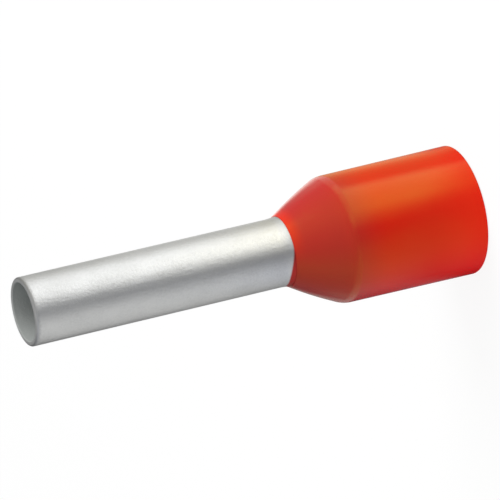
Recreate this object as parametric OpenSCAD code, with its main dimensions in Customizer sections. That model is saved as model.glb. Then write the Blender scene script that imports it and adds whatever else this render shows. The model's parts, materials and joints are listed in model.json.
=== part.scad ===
// Insulated wire ferrule. A thin plated copper tube, belled at one end, is held in a
// moulded plastic collar. A stripped wire goes in through the collar's mouth: its
// insulation stops in the collar, and its strands are led by the funnel and the bell
// into the tube, which is then crimped.
//
// Millimetres. The ferrule stands on the collar's mouth at Z = 0 with its axis on Z,
// and the tip of the tube points up.

/* [Metal sleeve] */
// Inner diameter of the tube, which takes the bare strands
bore_d = 1.7; // [1.5:0.05:1.9]
// Thickness of the tube's wall
tube_wall = 0.15; // [0.1:0.01:0.2]
// Length of the tube that stands out of the collar
tube_out = 8; // [6:0.5:18]
// Rounding on the outer edge of the tube's tip
tip_edge_r = 0.08; // [0.02:0.01:0.09]
// Rounding on the inner edge of the tube's tip
bore_edge_r = 0.03; // [0.01:0.01:0.04]

/* [Bell of the sleeve] */
// Angle between the bell's wall and the axis
bell_angle = 22; // [16:1:26]
// Radius of the bend that opens the tube into the bell, on its outside
bell_bend_r = 2; // [1:0.1:2.4]
// Length of the bend that shows outside the collar's neck
bend_lead = 0.3; // [0.05:0.05:0.4]
// How far the bell's rim stands out from the tube's outside
bell_flare = 0.5; // [0.35:0.05:0.55]
// Rounding on both edges of the bell's rim
rim_edge_r = 0.03; // [0.01:0.01:0.04]

/* [Plastic collar] */
// Inner diameter of the collar, which takes the wire's insulation
insulation_d = 3.2; // [3:0.1:4]
// Thickness of the collar's wall at the mouth
collar_wall = 0.31; // [0.25:0.01:0.5]
// Length of the barrel, from the mouth to the shoulder
barrel_len = 4.15; // [3:0.05:8]
// Length of the cone, from the shoulder to the neck
cone_len = 1.55; // [1.3:0.05:2]
// Draft angle on the outside of the barrel, which is widest at the mouth
draft = 0.5; // [0:0.1:1]
// Rounding of the shoulder between the barrel and the cone
shoulder_r = 0.7; // [0.1:0.1:1.2]
// Height of the cone's crown over a straight cone
cone_crown = 0.04; // [0.01:0.01:0.06]
// Thickness of the plastic lip that ends the cone at the neck
neck_lip = 0.02; // [0.01:0.01:0.1]
// Angle between the funnel, which leads the strands to the bell, and the axis
funnel_angle = 45; // [30:5:60]
// Rounding where the funnel meets the insulation's bore
funnel_r = 0.2; // [0.05:0.05:0.3]
// Rounding on the outer edge of the mouth
mouth_edge_r = 0.06; // [0.02:0.01:0.1]
// Rounding on the inner edge of the mouth
entry_edge_r = 0.05; // [0.02:0.01:0.1]

/* [Fit] */
// Gap between the sleeve and its seat in the collar, none when pressed home
seat_gap = 0; // [0:0.005:0.02]

/* [Hidden] */

// Segments round the axis
$fn = 96;
// Largest distance between an arc of a section and its chords
arc_error = 0.001;
// How far a cutting outline runs past the solid that it cuts
overrun = 1;

bore_r = bore_d / 2;
tube_r = bore_r + tube_wall;
insulation_r = insulation_d / 2;
mouth_r = insulation_r + collar_wall;
barrel_end_r = mouth_r - barrel_len * tan(draft);

neck_z = barrel_len + cone_len;
tip_z = neck_z + tube_out;

// The bend starts bend_lead above the neck, so the tube is a little wider at the neck
bend_rise = bell_bend_r - sqrt(pow(bell_bend_r, 2) - pow(bend_lead, 2));
neck_r = tube_r + bend_rise + neck_lip;
// Height at which the straight lines of the tube and of the bell would cross
bend_z = neck_z + bend_lead - bell_bend_r * tan(bell_angle / 2);
// Slant length of the bell's outside, from that crossing to the rim
bell_slant = bell_flare / sin(bell_angle);

// Unit vectors in the section's plane: down the bell's wall, and out of its outside
down_bell = [sin(bell_angle), -cos(bell_angle)];
out_of_bell = [cos(bell_angle), sin(bell_angle)];

// Corners of the section are [radius, height, rounding]

// Bend of a surface that lies "off" outside the tube's outer surface
function bend_corner(off) =
    [tube_r + off, bend_z + off * tan(bell_angle / 2), bell_bend_r - off];

// Rim of the same surface, lengthened by "reach"
function rim_corner(off, reach = 0) =
    let (p = [tube_r, bend_z] + (bell_slant + reach) * down_bell + off * out_of_bell)
    [p[0], p[1], rim_edge_r];

// Where the funnel hands the strands over to the bell, at the rim's inner corner
handover = flat(rim_corner(-tube_wall, seat_gap));
// Height at which the funnel meets the insulation's bore
funnel_z = handover[1] - (insulation_r - handover[0]) / tan(funnel_angle);

// Middle of the cone, lifted square to the cone's slope by its crown
cone_slope = [barrel_end_r - neck_r, -cone_len];
crown_point = [neck_r, neck_z] + cone_slope / 2
    + cone_crown * [cone_len, cone_slope[0]] / norm(cone_slope);
// A radius past the limit in rounded(), so the crown is an arc over half of each side
crown_r = pow(norm(cone_slope), 2) / cone_crown;

sleeve_section = [
    [bore_r, tip_z, bore_edge_r],
    bend_corner(-tube_wall),
    rim_corner(-tube_wall),
    rim_corner(0),
    bend_corner(0),
    [tube_r, tip_z, tip_edge_r]
];

// Everything inside the sleeve's seat, from the handover to past the neck
seat_section = [
    [0, handover[1] - overrun, 0],
    [handover[0], handover[1], 0],
    rim_corner(seat_gap, seat_gap),
    bend_corner(seat_gap),
    [tube_r + seat_gap, neck_z + overrun, 0],
    [0, neck_z + overrun, 0]
];

// The collar as moulded, before the seat is taken out
collar_section = [
    [insulation_r, 0, entry_edge_r],
    [mouth_r, 0, mouth_edge_r],
    [barrel_end_r, barrel_len, shoulder_r],
    [crown_point[0], crown_point[1], crown_r],
    [neck_r, neck_z, 0],
    [0, neck_z, 0],
    [0, handover[1], 0],
    [handover[0], handover[1], 0],
    [insulation_r, funnel_z, funnel_r]
];

function unit(v) = v / norm(v);
function flat(corner) = [corner[0], corner[1]];

// Chords for an arc of radius r that turns by "turn" degrees
function chords(r, turn) = max(1, ceil(turn / (2 * acos(1 - min(arc_error / r, 1)))));

// Outline of the corners, each rounded by an arc that takes at most half of a side
function rounded(corners) =
    let (n = len(corners))
    [
        for (i = [0 : n - 1])
            let (
                p = flat(corners[i]),
                back = flat(corners[(i + n - 1) % n]) - p,
                ahead = flat(corners[(i + 1) % n]) - p,
                half_angle = acos(unit(back) * unit(ahead)) / 2,
                half_side = min(norm(back), norm(ahead)) / 2,
                reach = min(corners[i][2] / tan(half_angle), half_side)
            )
            each reach > 0 ? corner_arc(p, unit(back), unit(ahead), half_angle, reach) : [p]
    ];

// Arc that touches both sides of the corner at p, "reach" away from it
function corner_arc(p, back, ahead, half_angle, reach) =
    let (
        r = reach * tan(half_angle),
        centre = p + unit(back + ahead) * r / sin(half_angle),
        first = p + back * reach - centre,
        start = atan2(first[1], first[0]),
        turn = 180 - 2 * half_angle,
        way = cross(back, ahead) > 0 ? -1 : 1,
        n = chords(r, turn)
    )
    [for (k = [0 : n]) let (a = start + way * turn * k / n) centre + r * [cos(a), sin(a)]];

// Tube with a rounded tip and a bell, one piece of plated copper
module sleeve() {
    color("lightgray")
        rotate_extrude()
            polygon(rounded(sleeve_section));
}

// Barrel, shoulder, crowned cone and funnel, one moulding
module collar() {
    color("orangered")
        rotate_extrude()
            difference() {
                polygon(rounded(collar_section));
                polygon(rounded(seat_section));
            }
}

sleeve();
collar();
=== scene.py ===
"""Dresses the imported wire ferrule: a tin-plated tube and a moulded plastic collar.

Both pieces are turned from their sections, which are drawn with the same sizes and
angles as the solids that they stand for. The stage is a white floor, one soft lamp,
and a surround that is white to the camera. What gloss mirrors of floor and surround is
set by lists of tones.
"""

import json
import math

import bpy
from bpy.props import (
    FloatProperty,
    FloatVectorProperty,
    IntProperty,
    PointerProperty,
)
from mathutils import Matrix, Vector


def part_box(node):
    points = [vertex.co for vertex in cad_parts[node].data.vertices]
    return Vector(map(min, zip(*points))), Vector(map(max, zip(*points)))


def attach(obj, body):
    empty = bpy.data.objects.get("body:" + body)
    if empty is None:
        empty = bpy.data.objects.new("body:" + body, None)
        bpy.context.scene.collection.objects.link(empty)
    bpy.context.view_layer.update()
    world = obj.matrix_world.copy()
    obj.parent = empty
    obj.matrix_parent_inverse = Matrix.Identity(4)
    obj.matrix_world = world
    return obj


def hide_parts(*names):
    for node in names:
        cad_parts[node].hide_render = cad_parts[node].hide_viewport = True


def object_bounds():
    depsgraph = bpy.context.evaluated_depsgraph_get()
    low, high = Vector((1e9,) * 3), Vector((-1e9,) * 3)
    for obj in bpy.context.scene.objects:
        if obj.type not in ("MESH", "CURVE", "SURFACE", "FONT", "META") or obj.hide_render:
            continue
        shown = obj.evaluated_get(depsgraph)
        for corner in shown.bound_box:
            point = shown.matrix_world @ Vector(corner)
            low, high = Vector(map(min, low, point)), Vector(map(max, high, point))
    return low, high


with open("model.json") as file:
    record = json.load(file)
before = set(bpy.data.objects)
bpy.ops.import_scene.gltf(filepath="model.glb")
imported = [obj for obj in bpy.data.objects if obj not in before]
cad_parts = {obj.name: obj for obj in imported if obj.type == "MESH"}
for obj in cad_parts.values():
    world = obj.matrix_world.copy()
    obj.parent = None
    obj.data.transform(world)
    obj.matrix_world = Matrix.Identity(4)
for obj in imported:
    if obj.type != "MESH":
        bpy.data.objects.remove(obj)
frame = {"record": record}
CAD_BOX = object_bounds()

bl_info = {
    "name": "Wire Ferrule",
    "version": (1, 0, 0),
    "blender": (4, 5, 0),
    "location": "View3D > Sidebar > Ferrule",
    "description": "Turns the ferrule's metal sleeve and plastic collar and sets their stage",
    "category": "Object",
}

MM = 0.001
MOUNTS = {mount["name"]: mount for mount in frame["record"]["mounts"]}


def mount_radius(name):
    """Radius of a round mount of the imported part, in metres."""
    return MOUNTS[name]["dims"]["r_mm"] * MM


# ---------------------------------------------------------------------------
# Sizes and colours


class FerruleSleeveSizes(bpy.types.PropertyGroup):
    """Sizes of the metal sleeve."""

    bore_r: FloatProperty(
        name="Bore radius",
        description="Inner radius of the tube, which takes the bare strands",
        default=mount_radius("strand_bore"),
        unit="LENGTH",
    )
    tube_r: FloatProperty(
        name="Tube radius",
        description="Outer radius of the tube",
        default=mount_radius("crimp_barrel"),
        unit="LENGTH",
    )
    tip_z: FloatProperty(
        name="Tip height",
        description="Height of the tube's cut end above the mouth",
        default=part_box("sleeve")[1].z,
        unit="LENGTH",
    )
    tip_edge_r: FloatProperty(
        name="Tip outer rounding",
        description="Rounding on the outer edge of the tube's tip",
        default=0.08 * MM,
        unit="LENGTH",
    )
    bore_edge_r: FloatProperty(
        name="Tip inner rounding",
        description="Rounding on the inner edge of the tube's tip",
        default=0.03 * MM,
        unit="LENGTH",
    )
    bell_angle: FloatProperty(
        name="Bell angle",
        description="Angle between the bell's wall and the axis",
        default=math.radians(22),
        subtype="ANGLE",
    )
    bend_r: FloatProperty(
        name="Bend radius",
        description="Radius of the bend that opens the tube into the bell, on its outside",
        default=2 * MM,
        unit="LENGTH",
    )
    bend_lead: FloatProperty(
        name="Bend above the neck",
        description="Length of the bend that shows outside the collar's neck",
        default=0.3 * MM,
        unit="LENGTH",
    )
    bell_flare: FloatProperty(
        name="Bell flare",
        description="How far the bell's rim stands out from the tube's outside",
        default=0.5 * MM,
        unit="LENGTH",
    )
    rim_edge_r: FloatProperty(
        name="Rim rounding",
        description="Rounding on both edges of the bell's rim",
        default=0.03 * MM,
        unit="LENGTH",
    )


class FerruleCollarSizes(bpy.types.PropertyGroup):
    """Sizes of the plastic collar."""

    insulation_r: FloatProperty(
        name="Insulation bore radius",
        description="Inner radius of the collar, which takes the wire's insulation",
        default=mount_radius("insulation_bore"),
        unit="LENGTH",
    )
    wall: FloatProperty(
        name="Wall",
        description="Thickness of the collar's wall at the mouth",
        default=0.31 * MM,
        unit="LENGTH",
    )
    neck_z: FloatProperty(
        name="Neck height",
        description="Height of the collar's narrow end above the mouth",
        default=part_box("collar")[1].z,
        unit="LENGTH",
    )
    cone_len: FloatProperty(
        name="Cone length",
        description="Length of the cone, from the shoulder to the neck",
        default=1.55 * MM,
        unit="LENGTH",
    )
    draft: FloatProperty(
        name="Draft",
        description="Draft angle on the outside of the barrel, which is widest at the mouth",
        default=math.radians(0.5),
        subtype="ANGLE",
    )
    shoulder_r: FloatProperty(
        name="Shoulder rounding",
        description="Rounding of the shoulder between the barrel and the cone",
        default=0.7 * MM,
        unit="LENGTH",
    )
    cone_crown: FloatProperty(
        name="Cone crown",
        description="Height of the cone's crown over a straight cone",
        default=0.04 * MM,
        unit="LENGTH",
    )
    neck_lip: FloatProperty(
        name="Neck lip",
        description="Thickness of the plastic lip that ends the cone at the neck",
        default=0.02 * MM,
        unit="LENGTH",
    )
    funnel_angle: FloatProperty(
        name="Funnel angle",
        description="Angle between the funnel, which leads the strands in, and the axis",
        default=math.radians(45),
        subtype="ANGLE",
    )
    funnel_r: FloatProperty(
        name="Funnel rounding",
        description="Rounding where the funnel meets the insulation's bore",
        default=0.2 * MM,
        unit="LENGTH",
    )
    mouth_edge_r: FloatProperty(
        name="Mouth outer rounding",
        description="Rounding on the outer edge of the mouth",
        default=0.06 * MM,
        unit="LENGTH",
    )
    entry_edge_r: FloatProperty(
        name="Mouth inner rounding",
        description="Rounding on the inner edge of the mouth",
        default=0.05 * MM,
        unit="LENGTH",
    )
    seat_gap: FloatProperty(
        name="Seat gap",
        description="Gap between the bell and its seat, which keeps their faces apart",
        default=0.002 * MM,
        unit="LENGTH",
    )


def colour(name, description, default):
    """A colour property with the settings that all of them share."""
    return FloatVectorProperty(
        name=name,
        description=description,
        default=default,
        subtype="COLOR",
        min=0,
        max=1,
    )


class FerruleFinish(bpy.types.PropertyGroup):
    """Colours and gloss of both pieces."""

    tin: colour("Tin", "Tin plating where it is clean", (0.600, 0.606, 0.604))
    tin_dull: colour("Dull tin", "Tin plating where it is dull", (0.545, 0.551, 0.549))
    tin_inside: colour("Tin inside", "Tin plating inside the bore", (0.44, 0.46, 0.45))
    tin_cut: colour("Tin at the cut", "Tin plating beside the cut tip", (0.50, 0.505, 0.505))
    # Partly plastic over the tin, partly painted shade and a painted red reflection of the
    # collar.
    tin_film_and_shade: colour("Film at the neck", "Tin under a film of plastic", (0.42, 0.035, 0.030))
    tin_roughness: FloatProperty(
        name="Tin roughness",
        description="Mean roughness of the tin plating",
        default=0.32,
        subtype="FACTOR",
        min=0,
        max=1,
    )
    # Painted light: the plastic is brighter by the mouth, for light that passes through the thin
    # wall there.
    plastic_mouth: colour(
        "Plastic at the mouth", "Where light passes through the wall", (0.66, 0.002, 0.005)
    )
    plastic_barrel: colour(
        "Plastic of the barrel", "Middle of the barrel", (0.61, 0.003, 0.005)
    )
    # Partly the metal bell under the thin plastic, partly painted shade on the cone.
    plastic_cone: colour(
        "Plastic of the cone", "Over the metal bell, which keeps light out", (0.415, 0.009, 0.018)
    )
    # Painted light: the lip at the neck is brighter, on its lit side only, for light that shines
    # through it.
    plastic_neck_glow: colour(
        "Plastic at the neck", "Thin lip that lets light through", (0.60, 0.012, 0.010)
    )
    plastic_gloss: colour(
        "Plastic gloss", "Tint of what the plastic mirrors", (0.3, 0.66, 0.08)
    )
    plastic_roughness: FloatProperty(
        name="Plastic roughness",
        description="Mean roughness of the plastic",
        default=0.22,
        subtype="FACTOR",
        min=0,
        max=1,
    )


class FerruleStage(bpy.types.PropertyGroup):
    """The camera, the lamp and the surround."""

    camera_distance: FloatProperty(
        name="Camera distance",
        description="Distance from the camera to the middle of the ferrule",
        default=140.84 * MM,
        unit="LENGTH",
    )
    camera_height: FloatProperty(
        name="Camera elevation",
        description="Angle of the camera above the horizon",
        default=math.radians(20.935),
        subtype="ANGLE",
    )
    camera_roll: FloatProperty(
        name="Camera roll",
        description="Turn of the camera about its own axis, which lays the ferrule over",
        default=math.radians(-103.223),
        subtype="ANGLE",
    )
    camera_aside: FloatVectorProperty(
        name="Camera offset",
        description="Step of the camera to its right and up, which frames the ferrule",
        default=(0.1392 * MM, 0.2890 * MM),
        size=2,
        unit="LENGTH",
    )
    lens: FloatProperty(
        name="Focal length",
        description="Focal length in millimetres",
        default=354.5,
    )
    ambient: FloatProperty(
        name="Surround light",
        description="Strength of the surround's light, midway between its sides",
        default=0.72,
        min=0,
    )
    ambient_lean: FloatProperty(
        name="Surround lean",
        description="How much brighter the surround is on the +X side than in the middle",
        default=0.8,
        min=0,
        max=1,
    )
    ambient_front: FloatProperty(
        name="Surround lift in front",
        description="How much brighter the surround is behind the camera than in the middle",
        default=0.25,
        min=0,
        max=1,
    )
    lamp_angle: FloatProperty(
        name="Lamp direction",
        description="Angle from the camera's side round to the lamp",
        default=math.radians(80),
        subtype="ANGLE",
    )
    lamp_height: FloatProperty(
        name="Lamp elevation",
        description="Angle of the lamp above the horizon",
        default=math.radians(42),
        subtype="ANGLE",
    )
    lamp_power: FloatProperty(
        name="Lamp power",
        description="Power of the soft lamp in watts",
        default=0.14,
        min=0,
    )
    segments: IntProperty(
        name="Segments",
        description="Faces round each turned piece",
        default=256,
        min=32,
    )


# ---------------------------------------------------------------------------
# Sections


ARC_STEPS = 10  # of the wide arcs


class Corner:
    """A corner of a section: its radius and height, its rounding and that arc's steps."""

    def __init__(self, place, rounding=0.0, steps=6):
        self.place = Vector(place)
        self.rounding = rounding
        self.steps = steps


def bend_height(sleeve, collar):
    """Height at which the straight lines of the tube and of the bell would cross."""
    return collar.neck_z + sleeve.bend_lead - sleeve.bend_r * math.tan(sleeve.bell_angle / 2)


def bend_corner(sleeve, collar, off):
    """The bend of a surface that lies "off" outside the tube's outer surface."""
    place = (
        sleeve.tube_r + off,
        bend_height(sleeve, collar) + off * math.tan(sleeve.bell_angle / 2),
    )
    return Corner(place, sleeve.bend_r - off, ARC_STEPS)


def rim_corner(sleeve, collar, off, reach=0.0):
    """The rim of the same surface, lengthened by "reach"."""
    slant = sleeve.bell_flare / math.sin(sleeve.bell_angle) + reach
    down = Vector((math.sin(sleeve.bell_angle), -math.cos(sleeve.bell_angle)))
    out = Vector((math.cos(sleeve.bell_angle), math.sin(sleeve.bell_angle)))
    start = Vector((sleeve.tube_r, bend_height(sleeve, collar)))
    return Corner(start + slant * down + off * out, sleeve.rim_edge_r)


def sleeve_section(sleeve, collar):
    """The tube's wall, from the tip down its bore to the bell's rim and back outside."""
    wall = sleeve.tube_r - sleeve.bore_r
    return [
        Corner((sleeve.bore_r, sleeve.tip_z), sleeve.bore_edge_r),
        bend_corner(sleeve, collar, -wall),
        rim_corner(sleeve, collar, -wall),
        rim_corner(sleeve, collar, 0),
        bend_corner(sleeve, collar, 0),
        Corner((sleeve.tube_r, sleeve.tip_z), sleeve.tip_edge_r, steps=8),
    ]


def collar_section(sleeve, collar):
    """The collar's wall, from the mouth up its outside and down the seat and the funnel."""
    wall = sleeve.tube_r - sleeve.bore_r
    gap = collar.seat_gap
    mouth_r = collar.insulation_r + collar.wall
    barrel_len = collar.neck_z - collar.cone_len
    barrel_end = Vector((mouth_r - barrel_len * math.tan(collar.draft), barrel_len))
    bend_rise = sleeve.bend_r - math.sqrt(sleeve.bend_r**2 - sleeve.bend_lead**2)
    neck = Vector((sleeve.tube_r + bend_rise + collar.neck_lip, collar.neck_z))
    slope = neck - barrel_end
    crown_out = Vector((slope.y, -slope.x)).normalized() * collar.cone_crown
    crown_r = slope.length**2 / collar.cone_crown  # so wide that its arc takes the whole cone
    handover = rim_corner(sleeve, collar, -wall, gap).place
    funnel_z = handover.y - (collar.insulation_r - handover.x) / math.tan(collar.funnel_angle)
    seat_neck = (sleeve.tube_r + bend_rise + gap, collar.neck_z)
    return [
        Corner((collar.insulation_r, 0), collar.entry_edge_r),
        Corner((mouth_r, 0), collar.mouth_edge_r),
        Corner(barrel_end, collar.shoulder_r, ARC_STEPS),
        Corner((barrel_end + neck) / 2 + crown_out, crown_r, ARC_STEPS),
        Corner(neck),
        Corner(seat_neck),
        bend_corner(sleeve, collar, gap),
        rim_corner(sleeve, collar, gap, gap),
        Corner(handover),
        Corner((collar.insulation_r, funnel_z), collar.funnel_r),
    ]


def arc_reach(corners, i):
    """Distance from corner i to both ends of its arc, at most half of a side."""
    here = corners[i].place
    back = corners[i - 1].place - here
    ahead = corners[(i + 1) % len(corners)].place - here
    half_angle = back.angle(ahead) / 2
    half_side = min(back.length, ahead.length) / 2
    return min(corners[i].rounding / math.tan(half_angle), half_side)


# ---------------------------------------------------------------------------
# Turning


SHARPEST_SMOOTH = math.radians(40)  # edges that turn by more stay sharp


def select_vertex(piece, place):
    """Selects only the vertex of the drawn section that is nearest to this place."""
    bpy.ops.mesh.select_all(action="DESELECT")
    bpy.ops.object.mode_set(mode="OBJECT")
    target = Vector((place.x, 0, place.y))
    nearest = min(piece.data.vertices, key=lambda vertex: (vertex.co - target).length)
    nearest.select = True
    bpy.ops.object.mode_set(mode="EDIT")


def draw_section(corners):
    """Draws the closed section as a face in the XZ plane and rounds its corners."""
    bpy.ops.mesh.primitive_plane_add(size=1)
    piece = bpy.context.object
    bpy.ops.object.mode_set(mode="EDIT")
    bpy.ops.mesh.select_mode(type="VERT")
    bpy.ops.mesh.merge(type="CENTER")
    start = corners[0].place
    bpy.ops.transform.translate(value=(start.x, 0, start.y))
    for corner, following in zip(corners, corners[1:] + corners[:1]):
        step = following.place - corner.place
        bpy.ops.mesh.extrude_vertices_move(TRANSFORM_OT_translate={"value": (step.x, 0, step.y)})
    bpy.ops.mesh.select_all(action="SELECT")
    bpy.ops.mesh.remove_doubles(threshold=MM)
    bpy.ops.mesh.edge_face_add()
    reaches = [arc_reach(corners, i) for i in range(len(corners))]
    for corner, reach in zip(corners, reaches):
        if reach > 0:
            select_vertex(piece, corner.place)
            bpy.ops.mesh.bevel(
                offset=reach, segments=corner.steps, profile=0.5, affect="VERTICES"
            )
    return piece


def turn_piece(name, corners, segments):
    """Spins the section round Z into a closed piece, in metres with its place in its mesh.

    The section is drawn in millimetres, because the edit operators weld and round
    nothing as small as this piece is in metres.
    """
    bpy.ops.object.select_all(action="DESELECT")
    in_mm = [Corner(c.place / MM, c.rounding / MM, c.steps) for c in corners]
    piece = draw_section(in_mm)
    piece.name = piece.data.name = name
    bpy.ops.mesh.select_all(action="SELECT")
    bpy.ops.mesh.delete(type="ONLY_FACE")
    bpy.ops.mesh.select_all(action="SELECT")
    bpy.ops.mesh.spin(
        steps=segments, angle=math.tau, center=(0, 0, 0), axis=(0, 0, 1), use_auto_merge=True
    )
    bpy.ops.mesh.select_all(action="SELECT")
    bpy.ops.mesh.remove_doubles(threshold=MM)
    bpy.ops.mesh.normals_make_consistent(inside=False)
    bpy.ops.object.mode_set(mode="OBJECT")
    piece.scale = (MM, MM, MM)
    bpy.ops.object.transform_apply(location=True, rotation=True, scale=True)
    bpy.ops.object.shade_smooth_by_angle(angle=SHARPEST_SMOOTH)
    even = piece.modifiers.new("Even shading", "WEIGHTED_NORMAL")
    even.keep_sharp = True
    bpy.ops.object.modifier_apply(modifier=even.name)
    return piece


# ---------------------------------------------------------------------------
# Shader nodes


class Wire:
    """A socket of a node tree. Sums of wires and numbers become Math nodes."""

    def __init__(self, tree, socket=None):
        self.tree = tree
        self.socket = socket

    def node(self, kind, settings=None, sockets=None, out=0):
        """Adds a node, gives it its settings and then its sockets' values or wires."""
        made = self.tree.nodes.new("ShaderNode" + kind)
        for name, value in (settings or {}).items():
            if name == "stops":
                fill_ramp(made.color_ramp, value)
            else:
                setattr(made, name, value)
        for name, value in (sockets or {}).items():
            if isinstance(value, Wire):
                self.tree.links.new(value.socket, made.inputs[name])
            else:
                made.inputs[name].default_value = value
        return Wire(self.tree, made.outputs[out] if made.outputs else None)

    def math(self, operation, first, second):
        """A Math node with these two values or wires."""
        return self.node("Math", {"operation": operation}, {0: first, 1: second})

    def __add__(self, other):
        return self.math("ADD", self, other)

    __radd__ = __add__

    def __sub__(self, other):
        return self.math("SUBTRACT", self, other)

    def __rsub__(self, other):
        return self.math("SUBTRACT", other, self)

    def __mul__(self, other):
        return self.math("MULTIPLY", self, other)

    __rmul__ = __mul__


def fill_ramp(ramp, stops):
    """Gives a colour ramp these (position, colour) stops."""
    while len(ramp.elements) < len(stops):
        ramp.elements.new(1.0)
    for element, (position, shade) in zip(ramp.elements, stops):
        element.position = position
        element.color = (*shade, 1.0)


def opaque(shade):
    """A colour property as the four numbers that a colour socket takes."""
    return (*shade, 1.0)


def new_material(name):
    """A material with an empty node tree, as a wire to build on."""
    material = bpy.data.materials.new(name)
    material.use_nodes = True
    material.node_tree.nodes.clear()
    return material, Wire(material.node_tree)


def place_in_mm(wire):
    """The point on the piece, in millimetres."""
    place = wire.node("TexCoord", out="Object")
    return wire.node("VectorMath", {"operation": "SCALE"}, {0: place, "Scale": 1 / MM})


def output(wire, name):
    """Another output of the node that this wire comes from."""
    return Wire(wire.tree, wire.socket.node.outputs[name])


def across(wire, place):
    """How far towards +X the place or direction lies."""
    return wire.node("SeparateXYZ", {}, {0: place}, out="X")


def stretched(wire, place, factors):
    """The place with each of its coordinates times its factor."""
    return wire.node("VectorMath", {"operation": "MULTIPLY"}, {0: place, 1: factors})


def noise(wire, place, per_mm, detail=2.0, roughness=0.5):
    """Even noise from 0 to 1 with this many features to the millimetre."""
    sockets = {"Vector": place, "Scale": per_mm, "Detail": detail, "Roughness": roughness}
    return wire.node("TexNoise", {}, sockets)


def between(wire, value, low, high):
    """How far the value has gone from low to high, smoothly, from 0 to 1."""
    settings = {"interpolation_type": "SMOOTHSTEP"}
    sockets = {"Value": value, "From Min": low, "From Max": high}
    return wire.node("MapRange", settings, sockets)


def mixed(wire, share, first, second):
    """The first colour, with this share of the second."""
    settings = {"data_type": "RGBA"}
    return wire.node("Mix", settings, {0: share, 6: first, 7: second}, out=2)


def bumped(wire, height, depth):
    """The normal of a surface that rises by this depth where the height is 1."""
    return wire.node("Bump", {}, {"Height": height, "Distance": depth, "Strength": 1.0})


# ---------------------------------------------------------------------------
# Materials


# Of the tin plating. Grain, streaks and clouds are counted to the millimetre. What
# roughens or wanders changes by this much from the least to the most of its cause.
GRAIN = 15.0
STREAKS = 8.0
STREAK_STRETCH = (1, 1, 0.12)  # draws the streaks out along the tube
CLOUDS = 1.1
CLOUDS_IN_DULL = 0.4  # their share in the mix that is dull where it is high, with grain
DULL_FROM_TO = (0.40, 0.66)
STREAKS_IN_RELIEF = 0.2  # their share in the relief, with grain
RELIEF_DEPTH = 0.015 * MM
GRAIN_ROUGHENS = 0.16
CLOUDS_ROUGHEN = 0.10
BORE_ROUGHENS = 0.2
CUT_ROUGHENS = 0.15
CUT_BAND = (0.15, 0.07)  # millimetres below the tip over which the cut's dull band begins
CUT_WANDERS = 0.12  # in millimetres
BORE_EDGE = (0.005, 0.02)  # millimetres outside the bore's radius over which the inside ends
BORE_PLAIN = 0.55  # how much less metallic the inside is
SPECKS_FROM_TO = (0.50, 0.75)  # grain that is a clean speck on the inside
SPECK_CLEAN = 0.5  # how much of the inside's colour it loses
FILM_AND_SHADE_SIDE = (0.2, -0.9)  # millimetres across the tube over which the film and painted shade rise, towards the unlit -X side
FILM_AND_SHADE_HEIGHT = 0.17  # in millimetres above the neck
FILM_AND_SHADE_EDGE = 0.03  # in millimetres: half the width of its soft edge, and how far it wanders
TIN_GRAZING = (0.6, 0.6, 0.6)  # tint of what the tin mirrors at a grazing angle

# Of the plastic, with noise counted in the same way.
SWIRL = 0.8
PEEL = 1.6
FINE = 14.0
SWIRL_ROUGHENS = 0.10
FINE_ROUGHENS = 0.06
PEEL_IN_RELIEF = 0.8
FINE_IN_RELIEF = 0.02
PEEL_DEPTH = 0.006 * MM
BELL_FROM_TO = (-1.2, 0.5)  # millimetres above the shoulder over which the cone's darker colour comes in: partly the bell beneath, partly painted shade
MOUTH_REACH = 2.0  # millimetres above the mouth in which its brighter colour, painted light through the thin wall, ends
NECK_GLOW_REACH = 0.35  # millimetres below the neck in which the lip's painted glow begins
NECK_GLOW_SIDE = (-0.5, 0.7)  # millimetres across the neck over which that painted glow comes in, towards the lit +X side
PLASTIC_IOR = 1.75  # above that of bare plastic, for a fuller gloss


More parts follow.
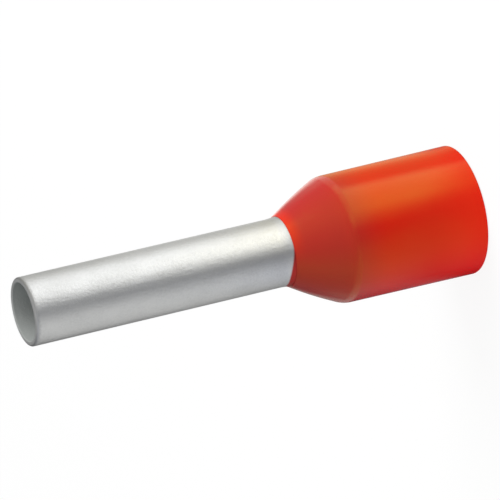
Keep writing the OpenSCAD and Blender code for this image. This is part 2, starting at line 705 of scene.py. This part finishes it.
def tin_plate(finish, sleeve, neck_z):
    """Matt tin plating on drawn copper: grainy, cloudy, and dull by the cut and inside.

    On the unlit side of the neck the tube turns dark red: partly the plastic's edge, which
    reaches further up there, and partly painted shade and a painted red reflection of the collar.
    """
    material, wire = new_material("tin_plate")
    place = place_in_mm(wire)
    radius = wire.node(
        "VectorMath", {"operation": "LENGTH"}, {0: stretched(wire, place, (1, 1, 0))}, out="Value"
    )
    grain = noise(wire, place, GRAIN, detail=4.0, roughness=0.75)
    streaks = noise(wire, stretched(wire, place, STREAK_STRETCH), STREAKS, detail=3.0)
    clouds = noise(wire, place, CLOUDS)
    side = across(wire, place)
    height_mm = output(side, "Z")
    bore_mm = sleeve.bore_r / MM
    tip_mm = sleeve.tip_z / MM

    cut_mm = height_mm + (grain - 0.5) * CUT_WANDERS
    by_cut = between(wire, cut_mm, tip_mm - CUT_BAND[0], tip_mm - CUT_BAND[1])
    inside = 1 - between(wire, radius, bore_mm + BORE_EDGE[0], bore_mm + BORE_EDGE[1])
    specks = between(wire, grain, *SPECKS_FROM_TO)
    # Painted shade and painted reflection: dark red on the unlit side of the neck, partly for the
    # plastic's edge that lies higher there.
    film_and_shade_mm = neck_z / MM + FILM_AND_SHADE_HEIGHT * between(wire, side, *FILM_AND_SHADE_SIDE)
    film_and_shade_mm = film_and_shade_mm + (grain - 0.5) * FILM_AND_SHADE_EDGE
    film_and_shade = between(wire, film_and_shade_mm - height_mm, -FILM_AND_SHADE_EDGE, FILM_AND_SHADE_EDGE)

    dullness = clouds * CLOUDS_IN_DULL + grain * (1 - CLOUDS_IN_DULL)
    dull = between(wire, dullness, *DULL_FROM_TO)
    plated = mixed(wire, dull, opaque(finish.tin), opaque(finish.tin_dull))
    plated = mixed(wire, by_cut, plated, opaque(finish.tin_cut))
    shade = mixed(wire, inside * (1 - specks * SPECK_CLEAN), plated, opaque(finish.tin_inside))
    shade = mixed(wire, film_and_shade, shade, opaque(finish.tin_film_and_shade))
    rough = finish.tin_roughness + (grain - 0.5) * GRAIN_ROUGHENS
    rough = rough + (clouds - 0.5) * CLOUDS_ROUGHEN
    rough = rough + inside * BORE_ROUGHENS + by_cut * CUT_ROUGHENS
    relief = grain * (1 - STREAKS_IN_RELIEF) + streaks * STREAKS_IN_RELIEF
    surface = wire.node(
        "BsdfPrincipled",
        {},
        {
            "Base Color": shade,
            "Metallic": 1 - inside * BORE_PLAIN,
            "Specular Tint": opaque(TIN_GRAZING),
            "Roughness": rough,
            "Normal": bumped(wire, relief, RELIEF_DEPTH),
        },
    )
    wire.node("OutputMaterial", {}, {"Surface": surface})
    return material


def red_plastic(finish, collar):
    """Glossy moulded plastic, deeper over the metal bell partly as painted shade, with painted
    light at its mouth and on the lit side of its neck.
    """
    material, wire = new_material("red_plastic")
    place = place_in_mm(wire)
    side = across(wire, place)
    height_mm = output(side, "Z")
    neck_mm = collar.neck_z / MM
    shoulder_mm = neck_mm - collar.cone_len / MM
    # The cone is darker partly for the bell beneath and partly as painted shade.
    bell_and_shade = between(
        wire, height_mm, shoulder_mm + BELL_FROM_TO[0], shoulder_mm + BELL_FROM_TO[1]
    )
    # Painted light: brighter towards the mouth.
    at_mouth = 1 - between(wire, height_mm, 0.0, MOUTH_REACH)
    # Painted light: a brighter lip at the neck, on the lit side only.
    lit_neck_glow = between(wire, height_mm, neck_mm - NECK_GLOW_REACH, neck_mm)
    lit_neck_glow = lit_neck_glow * between(wire, side, *NECK_GLOW_SIDE)
    swirl = noise(wire, place, SWIRL)
    peel = noise(wire, place, PEEL, detail=1.5)
    fine = noise(wire, place, FINE)

    barrel = mixed(wire, at_mouth, opaque(finish.plastic_barrel), opaque(finish.plastic_mouth))
    cone = mixed(wire, lit_neck_glow, opaque(finish.plastic_cone), opaque(finish.plastic_neck_glow))
    shade = mixed(wire, bell_and_shade, barrel, cone)
    rough = finish.plastic_roughness + (swirl - 0.5) * SWIRL_ROUGHENS
    rough = rough + (fine - 0.5) * FINE_ROUGHENS
    relief = peel * PEEL_IN_RELIEF + fine * FINE_IN_RELIEF
    surface = wire.node(
        "BsdfPrincipled",
        {},
        {
            "Base Color": shade,
            "Roughness": rough,
            "IOR": PLASTIC_IOR,
            "Specular Tint": opaque(finish.plastic_gloss),
            "Normal": bumped(wire, relief, PEEL_DEPTH),
        },
    )
    wire.node("OutputMaterial", {}, {"Surface": surface})
    return material


# ---------------------------------------------------------------------------
# Stage


# What gloss mirrors round the object, on the floor and at the horizon: degrees from the
# camera's side towards +X, the tone that lies there, and how warm it is. Below 0 it is
# cool. The side that faces the camera is in shade.
LEVEL_TONES = (
    (-180, 0.32, 0.0),
    (-160, 0.42, 0.0),
    (-142, 0.66, 0.1),
    (-122, 0.80, 0.2),
    (-55, 0.88, 0.2),
    (-30, 0.58, 0.0),
    (-12, 0.22, -1.0),
    (6, 0.26, -1.0),
    (14, 0.90, 0.2),
    (24, 1.72, 0.0),
    (92, 1.72, 0.0),
    (103, 0.92, 0.4),
    (130, 0.90, 0.5),
    (162, 1.45, 0.2),
    (180, 1.10, 0.0),
)
# The same on the floor close to the collar, bright on its lit side and warm behind that.
NEAR_TONES = (
    (-180, 0.10, -2.0),
    (-150, 0.10, -2.0),
    (-114, 0.48, -4.0),
    (-85, 0.64, -4.0),
    (-65, 0.64, -4.0),
    (-32, 0.32, -3.0),
    (-8, 0.04, 0.0),
    (6, 0.08, 0.0),
    (22, 0.75, 1.0),
    (44, 2.50, 3.0),
    (86, 2.50, 3.0),
    (100, 0.60, 8.0),
    (125, 0.50, 9.0),
    (157, 0.75, 7.0),
    (180, 0.40, 4.0),
)
# The same above the horizon, and behind the object also at the horizon and far off on
# the floor.
UPPER_TONES = (
    (-180, 0.90, 0.0),
    (-165, 0.12, 0.0),
    (-140, 0.15, -0.5),
    (-118, 0.40, -1.0),
    (-65, 0.76, -1.0),
    (-15, 0.32, -0.5),
    (15, 0.32, 0.5),
    (50, 0.58, 1.5),
    (95, 0.50, 1.5),
    (118, 0.36, 1.5),
    (160, 0.36, 0.0),
    (180, 0.90, 0.0),
)
BRIGHTEST_TONE = 2.6  # what a ramp's full white stands for
WARMING = (0.02, 0.0, -0.08)  # what full warmth adds to a tone's red, green and blue share
HORIZON_FADE = (0.0, 0.07)  # height of a direction over which the upper tones take over
ZENITH_TONE = 0.7
ZENITH_FADE = (0.66, 0.85)  # height of a direction over which this last tone takes over
BEHIND = (-0.55, -0.8)  # cosines of the directions behind the object, from the camera
FAR_FADE = (38 * MM, 55 * MM)  # distance at which the floor there takes the upper tones
NEAR_FADE = (12.5 * MM, 14.5 * MM)  # distance at which the near tones end
MOUTH_FADE = (4 * MM, 10 * MM)  # distance at which the near tones reach their mean strength
MOUTH_SHADE = 0.8  # how much weaker they are before the mouth, and stronger behind it
MOUTH_SIDE = (-0.8, -0.2)  # cosines of the directions from behind the mouth to before it
MOUTH_UNLIT = 4 * MM  # how far towards +X this difference between the two goes
FLOOR_GLOW = 0.90  # what the floor shines by itself to the camera
FLOOR_LIT = 0.09  # the share of its light that it gives back besides, with its shadow
FLOOR_BOUNCE = ((0.95, 0.95, 0.95), (0.28, 0.28, 0.28))  # off the lit side, and on it
BOUNCE_FADE = 12.5 * MM  # how far to both sides of the axis one changes into the other
COLLAR_GLOW = 1.2  # light that the floor beside the collar gives back, off the lit side
COLLAR_GLOW_FADE = (3 * MM, 10 * MM)  # distance at which this light ends
COLLAR_GLOW_SIDE = 3 * MM  # how far to both sides of the axis it ends on the lit side
FLOOR_RADIUS = 1.0
FLOOR_DROP = 0.01 * MM  # under the mouth, so that their faces don't lie in one plane
LAMP_SIZE = 90 * MM
LAMP_DISTANCE = 130 * MM
LAMP_AIM = 7 * MM  # height of the point that it shines at


def tone_round(wire, place, tones, squeeze=1.0):
    """The tone that lies in the direction of this place, after its angle is squeezed."""
    side = across(wire, place)
    turn = wire.math("DIVIDE", wire.math("ARCTAN2", side, output(side, "Y") * -1), squeeze)
    stops = [
        (angle / 360 + 0.5, [tone * (1 + warmth * part) / BRIGHTEST_TONE for part in WARMING])
        for angle, tone, warmth in tones
    ]
    ramp = wire.node("ValToRGB", {"stops": stops}, {0: turn * (1 / math.tau) + 0.5})
    return wire.node("VectorMath", {"operation": "SCALE"}, {0: ramp, "Scale": BRIGHTEST_TONE})


def set_world(stage):
    """White to the camera, toned for gloss, and for the rest light from +X and the front."""
    world = bpy.data.worlds.new("surround")
    bpy.context.scene.world = world
    world.use_nodes = True
    world.node_tree.nodes.clear()
    wire = Wire(world.node_tree)
    to_camera = wire.node("LightPath", out="Is Camera Ray")
    through = output(to_camera, "Is Transmission Ray")
    glossy = output(to_camera, "Is Glossy Ray")
    direction = wire.node("TexCoord", out="Generated")
    side = across(wire, direction)
    lean = side * stage.ambient_lean - output(side, "Y") * stage.ambient_front
    light = (lean + 1) * stage.ambient
    soft = wire.node("CombineColor", {}, {"Red": light, "Green": light, "Blue": light})
    height = output(side, "Z")
    level = tone_round(wire, direction, LEVEL_TONES)
    upper = tone_round(wire, direction, UPPER_TONES)
    in_front = 1 - between(wire, output(side, "Y") * -1, *BEHIND)
    low = (1 - between(wire, height, *HORIZON_FADE)) * in_front
    overhead = between(wire, height, *ZENITH_FADE)
    toned = mixed(wire, overhead, mixed(wire, low, upper, level), opaque([ZENITH_TONE] * 3))
    white = mixed(wire, to_camera + through, soft, (1, 1, 1, 1))
    shown = mixed(wire, glossy, white, toned)
    background = wire.node("Background", {}, {"Color": shown})
    wire.node("OutputWorld", {}, {"Surface": background})


def floor_material(collar):
    """White, and mostly bright by itself where it is seen, so that its shadow stays faint."""
    material, wire = new_material("floor_white")
    # The floor isn't sampled as a lamp: rays that meet it by themselves carry its light.
    material.cycles.emission_sampling = "NONE"
    to_camera = wire.node("LightPath", out="Is Camera Ray")
    through = output(to_camera, "Is Transmission Ray")
    glossy = output(to_camera, "Is Glossy Ray")
    place = wire.node("TexCoord", out="Object")
    radius = wire.node("VectorMath", {"operation": "LENGTH"}, {0: place}, out="Value")
    side = across(wire, place)
    facing = wire.math("DIVIDE", output(side, "Y") * -1, radius)
    mouth_r = collar.insulation_r + collar.wall
    in_the_open = between(wire, radius, collar.insulation_r, mouth_r)

    # Close by, a round wall mirrors the floor from nearer to the side that faces the camera.
    squeeze = 1 - wire.math("DIVIDE", mouth_r / 2, radius)
    near = tone_round(wire, place, NEAR_TONES, squeeze)
    level = tone_round(wire, place, LEVEL_TONES)
    upper = tone_round(wire, place, UPPER_TONES)
    by_mouth = 1 - between(wire, radius, *MOUTH_FADE)
    by_mouth = by_mouth * (between(wire, facing, *MOUTH_SIDE) * 2 - 1)
    unlit = 1 - between(wire, side, 0.0, MOUTH_UNLIT)
    shaded = 1 - by_mouth * unlit * MOUTH_SHADE
    near = wire.node("VectorMath", {"operation": "SCALE"}, {0: near, "Scale": shaded})
    toned = mixed(wire, between(wire, radius, *NEAR_FADE), near, level)
    far_behind = between(wire, radius, *FAR_FADE) * between(wire, facing, *BEHIND)
    toned = mixed(wire, far_behind, toned, upper)

    glow = mixed(wire, glossy, opaque([FLOOR_GLOW] * 3), toned)
    bright = wire.node("Emission", {}, {"Color": glow, "Strength": in_the_open})
    under_glow = mixed(wire, glossy, opaque([FLOOR_LIT] * 3), opaque([0.0] * 3))
    faint = wire.node("BsdfDiffuse", {}, {"Color": under_glow})
    shown = wire.node("AddShader", {}, {0: faint, 1: bright})

    on_lit_side = between(wire, side, -BOUNCE_FADE, BOUNCE_FADE)
    bounce = mixed(wire, on_lit_side, opaque(FLOOR_BOUNCE[0]), opaque(FLOOR_BOUNCE[1]))
    by_collar = 1 - between(wire, radius, *COLLAR_GLOW_FADE)
    off_lit_side = 1 - between(wire, side, -COLLAR_GLOW_SIDE, COLLAR_GLOW_SIDE)
    lift = by_collar * off_lit_side * COLLAR_GLOW * in_the_open
    reflected = wire.node("BsdfDiffuse", {}, {"Color": bounce})
    lifted = wire.node("Emission", {}, {"Strength": lift})
    lit = wire.node("AddShader", {}, {0: reflected, 1: lifted})

    seen = to_camera + through + glossy
    surface = wire.node("MixShader", {}, {0: seen, 1: lit, 2: shown})
    wire.node("OutputMaterial", {}, {"Surface": surface})
    return material


def set_floor(collar):
    """A wide round floor just under the mouth."""
    bpy.ops.mesh.primitive_circle_add(vertices=64, radius=FLOOR_RADIUS, fill_type="NGON")
    floor = bpy.context.object
    floor.name = "floor"
    floor.location.z = -FLOOR_DROP
    floor.data.materials.append(floor_material(collar))


def set_lamp(stage):
    """One soft round lamp, which gloss doesn't mirror."""
    data = bpy.data.lights.new("soft_lamp", "AREA")
    data.shape = "DISK"
    data.size = LAMP_SIZE
    data.energy = stage.lamp_power
    lamp = bpy.data.objects.new("soft_lamp", data)
    bpy.context.scene.collection.objects.link(lamp)
    towards = Vector(
        (
            math.sin(stage.lamp_angle) * math.cos(stage.lamp_height),
            -math.cos(stage.lamp_angle) * math.cos(stage.lamp_height),
            math.sin(stage.lamp_height),
        )
    )
    lamp.location = Vector((0, 0, LAMP_AIM)) + towards * LAMP_DISTANCE
    lamp.rotation_euler = towards.to_track_quat("Z", "Y").to_euler()
    lamp.visible_glossy = False  # the tones above are all that gloss mirrors


def set_camera(stage):
    """The camera, turned about its own axis so that the ferrule lies across its view."""
    data = bpy.data.cameras.new("camera")
    data.sensor_width = 36
    data.lens = stage.lens
    data.clip_start = 1 * MM
    data.clip_end = 10
    camera = bpy.data.objects.new("camera", data)
    bpy.context.scene.collection.objects.link(camera)
    level = Matrix.Rotation(math.pi / 2 - stage.camera_height, 3, "X")
    turned = level @ Matrix.Rotation(stage.camera_roll, 3, "Z")
    right, up, back = turned.col
    middle = (CAD_BOX[0] + CAD_BOX[1]) / 2
    aside, above = stage.camera_aside
    camera.location = middle + right * aside + up * above + back * stage.camera_distance
    camera.rotation_euler = turned.to_euler()
    bpy.context.scene.camera = camera


# ---------------------------------------------------------------------------
# Operators and panel


class FERRULE_OT_turn_sleeve(bpy.types.Operator):
    """Turn the belled metal sleeve and plate it with tin"""

    bl_idname = "ferrule.turn_sleeve"
    bl_label = "Turn Sleeve"
    bl_options = {"REGISTER", "UNDO"}

    def execute(self, context):
        scene = context.scene
        section = sleeve_section(scene.ferrule_sleeve, scene.ferrule_collar)
        piece = turn_piece("plated_sleeve", section, scene.ferrule_stage.segments)
        neck_z = scene.ferrule_collar.neck_z
        plating = tin_plate(scene.ferrule_finish, scene.ferrule_sleeve, neck_z)
        piece.data.materials.append(plating)
        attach(piece, "root")
        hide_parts("sleeve")
        return {"FINISHED"}


class FERRULE_OT_mould_collar(bpy.types.Operator):
    """Make the plastic collar with its funnel and the bell's seat"""

    bl_idname = "ferrule.mould_collar"
    bl_label = "Mould Collar"
    bl_options = {"REGISTER", "UNDO"}

    def execute(self, context):
        scene = context.scene
        section = collar_section(scene.ferrule_sleeve, scene.ferrule_collar)
        piece = turn_piece("moulded_collar", section, scene.ferrule_stage.segments)
        piece.data.materials.append(red_plastic(scene.ferrule_finish, scene.ferrule_collar))
        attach(piece, "root")
        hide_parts("collar")
        return {"FINISHED"}


class FERRULE_OT_set_stage(bpy.types.Operator):
    """Set the floor, the surround, the lamp and the camera"""

    bl_idname = "ferrule.set_stage"
    bl_label = "Set Stage"
    bl_options = {"REGISTER", "UNDO"}

    def execute(self, context):
        stage = context.scene.ferrule_stage
        context.scene.view_settings.view_transform = "Standard"
        bpy.ops.object.select_all(action="DESELECT")
        set_world(stage)
        set_floor(context.scene.ferrule_collar)
        set_lamp(stage)
        set_camera(stage)
        return {"FINISHED"}


class FERRULE_PT_panel(bpy.types.Panel):
    """Lists the ferrule's operators with their sizes and colours"""

    bl_label = "Wire Ferrule"
    bl_idname = "FERRULE_PT_panel"
    bl_space_type = "VIEW_3D"
    bl_region_type = "UI"
    bl_category = "Ferrule"

    def draw(self, context):
        scene = context.scene
        for operator in OPERATORS:
            self.layout.operator(operator.bl_idname)
        for group_name in GROUPS:
            box = self.layout.box()
            group = getattr(scene, group_name)
            for name in group.__annotations__:
                box.prop(group, name)


GROUPS = {
    "ferrule_sleeve": FerruleSleeveSizes,
    "ferrule_collar": FerruleCollarSizes,
    "ferrule_finish": FerruleFinish,
    "ferrule_stage": FerruleStage,
}
OPERATORS = (FERRULE_OT_set_stage, FERRULE_OT_turn_sleeve, FERRULE_OT_mould_collar)
CLASSES = (*GROUPS.values(), *OPERATORS, FERRULE_PT_panel)


def register():
    for cls in CLASSES:
        bpy.utils.register_class(cls)
    for name, group in GROUPS.items():
        setattr(bpy.types.Scene, name, PointerProperty(type=group))


def unregister():
    for name in GROUPS:
        delattr(bpy.types.Scene, name)
    for cls in reversed(CLASSES):
        bpy.utils.unregister_class(cls)


def main():
    register()
    bpy.ops.ferrule.set_stage()
    bpy.ops.ferrule.turn_sleeve()
    bpy.ops.ferrule.mould_collar()


if __name__ == "__main__":
    main()
